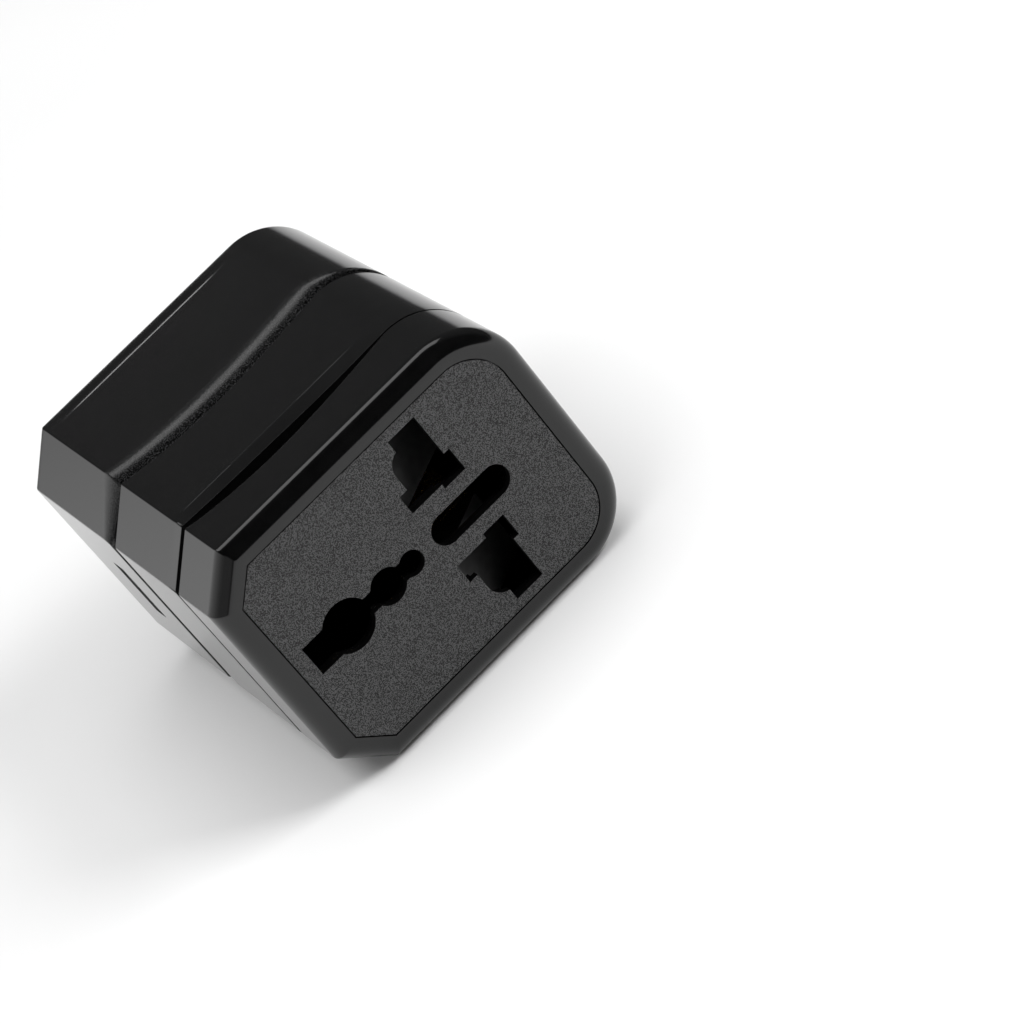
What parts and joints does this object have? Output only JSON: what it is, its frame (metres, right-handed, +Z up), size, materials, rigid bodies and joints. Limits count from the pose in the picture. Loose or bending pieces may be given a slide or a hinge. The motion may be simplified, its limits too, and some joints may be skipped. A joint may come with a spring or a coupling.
{
  "type": "universal travel adapter",
  "caption": "Pocket mains adapter: universal socket face with shutters, UK pins hidden by a pull-off module with folding EU pins and US blades.",
  "frame": {"origin": "centre of the closed adapter's outline on the surface it lies on, under its lower long side", "axes": "+Z up, out of the upper long side; -Y out of the socket face, +Y out of the rear face; +X towards the rounded end"},
  "size_m": [0.0496, 0.0582, 0.0386],
  "materials": {
    "gloss_black": "polished moulded polycarbonate, fine roll-off grain at the rear seam",
    "grained_black": "spark-eroded fine grain",
    "satin_black": "satin moulded nylon",
    "insulator_black": "plain moulded",
    "brass": "stamped strip",
    "nickel": "nickel-plated brass, lightly brushed",
    "steel": "zinc-plated steel",
    "fuse_ceramic": "glazed ceramic"
  },
  "bodies": {
    "main_unit": {"front_housing": "gloss_black", "socket_face": "grained_black", "rear_housing": "gloss_black", "shutter_spring_live": "steel", "shutter_spring_neutral": "steel", "socket_contact_live": "brass", "socket_contact_neutral": "brass", "socket_contact_earth": "brass", "contact_carrier": "insulator_black", "fuse": "fuse_ceramic", "fuse_clip_line_side": "brass", "fuse_clip_pin_side": "brass", "live_bus_bar": "brass", "uk_pin_live": "nickel", "uk_pin_neutral": "nickel", "uk_pin_earth": "nickel", "shell_screw_upper_rounded": "steel", "shell_screw_lower_rounded": "steel", "shell_screw_upper_chamfered": "steel", "shell_screw_lower_chamfered": "steel"},
    "shutter_live": {"shutter_live": "satin_black"},
    "shutter_neutral": {"shutter_neutral": "satin_black"},
    "travel_module": {"travel_housing": "gloss_black", "module_plate": "insulator_black", "label_bar": "satin_black", "module_contact_live": "brass", "module_contact_neutral": "brass", "eu_pin_tray": "insulator_black", "eu_detent_spring": "steel", "us_detent_spring": "steel", "eu_axle": "steel", "us_axle": "steel", "module_screw_upper_rounded": "steel", "module_screw_lower_rounded": "steel", "module_screw_upper_chamfered": "steel", "module_screw_lower_chamfered": "steel"},
    "eu_pins": {"eu_barrel": "satin_black", "eu_pin_live": "nickel", "eu_pin_neutral": "nickel"},
    "us_blades": {"us_barrel": "satin_black", "us_blade_front": "nickel", "us_blade_rear": "nickel"}
  },
  "joints": [
    {"name": "shutter_live_slide", "type": "slide", "parent": "main_unit", "child": "shutter_live", "axis": [-1, 0, 0], "range_m": [0, 0.007], "stiffness_N_per_m": 60, "springref_m": -0.005, "deforming": ["shutter_spring_live"]},
    {"name": "shutter_neutral_slide", "type": "slide", "parent": "main_unit", "child": "shutter_neutral", "axis": [-1, 0, 0], "range_m": [0, 0.007], "stiffness_N_per_m": 60, "springref_m": -0.005, "deforming": ["shutter_spring_neutral"]},
    {"name": "travel_module_slide", "type": "slide", "parent": "main_unit", "child": "travel_module", "axis": [0, 1, 0], "range_m": [0, 0.024]},
    {"name": "eu_pins_fold", "type": "hinge", "parent": "travel_module", "child": "eu_pins", "pos_m": [0.0135, 0.02595, 0.0193], "axis": [0, 0, -1], "range_deg": [0, 90]},
    {"name": "us_blades_fold", "type": "hinge", "parent": "travel_module", "child": "us_blades", "pos_m": [0.0209, 0.01495, 0.0091], "axis": [0, 1, 0], "range_deg": [0, 90]}
  ]
}
